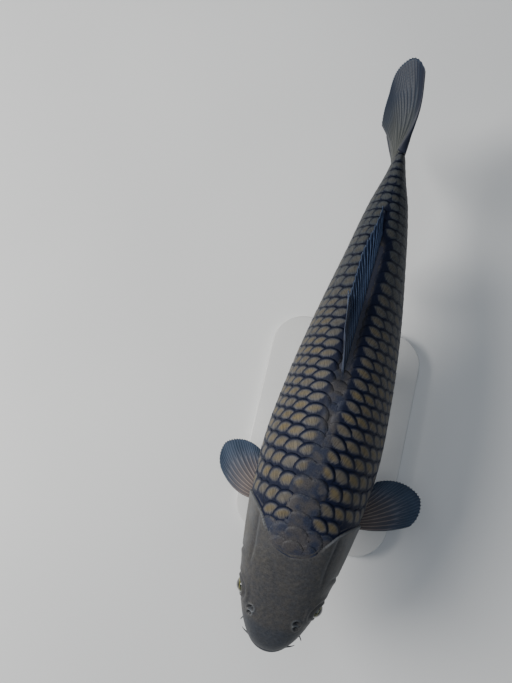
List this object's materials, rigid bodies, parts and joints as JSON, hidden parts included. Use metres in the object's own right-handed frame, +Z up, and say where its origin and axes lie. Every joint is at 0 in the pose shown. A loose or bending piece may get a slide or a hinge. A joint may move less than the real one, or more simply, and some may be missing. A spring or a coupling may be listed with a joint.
{
  "type": "koi carp display model",
  "caption": "Life-size still model of a net-patterned grey-brown koi carp, swimming with fins spread, held over a flat base by rods.",
  "frame": {"origin": "centre of the stand base's underside, on the floor", "axes": "+Z up; the fish heads along -Y, its left side toward +X"},
  "size_m": [0.2329, 0.6106, 0.239],
  "materials": {
    "head_skin": "smooth wet-looking scaleless skin, olive grey with fine speckle",
    "scaled_skin": "overlapping scales, bronze grey centres with dark blue-grey net",
    "eye": "polished dark eye with a narrow green-gold ring",
    "barbel": "soft dark grey feeler",
    "dark_fin": "dark blue-grey web with pale rays",
    "bronze_fin": "bronze web with dark ray lines and a blue-grey rim",
    "tail_fin": "grey web with rays, bluish at the rim",
    "stand_base": "pale satin lacquer on a flat board",
    "stand_rod": "brushed rod with a turned collar"
  },
  "bodies": {
    "root": {"head": "head_skin", "lower_jaw": "head_skin", "gill_cover_left": "head_skin", "gill_cover_right": "head_skin", "trunk": "scaled_skin", "tail_stalk": "scaled_skin", "eye_left": "eye", "eye_right": "eye", "lip_barbel_left": "barbel", "lip_barbel_right": "barbel", "corner_barbel_left": "barbel", "corner_barbel_right": "barbel", "dorsal_fin": "dark_fin", "anal_fin": "dark_fin", "pelvic_fin_left": "dark_fin", "pelvic_fin_right": "dark_fin", "tail_fin": "tail_fin", "pectoral_fin_left": "bronze_fin", "pectoral_fin_right": "bronze_fin", "stand_base": "stand_base", "stand_rod_front": "stand_rod", "stand_rod_rear": "stand_rod"}
  },
  "joints": []
}
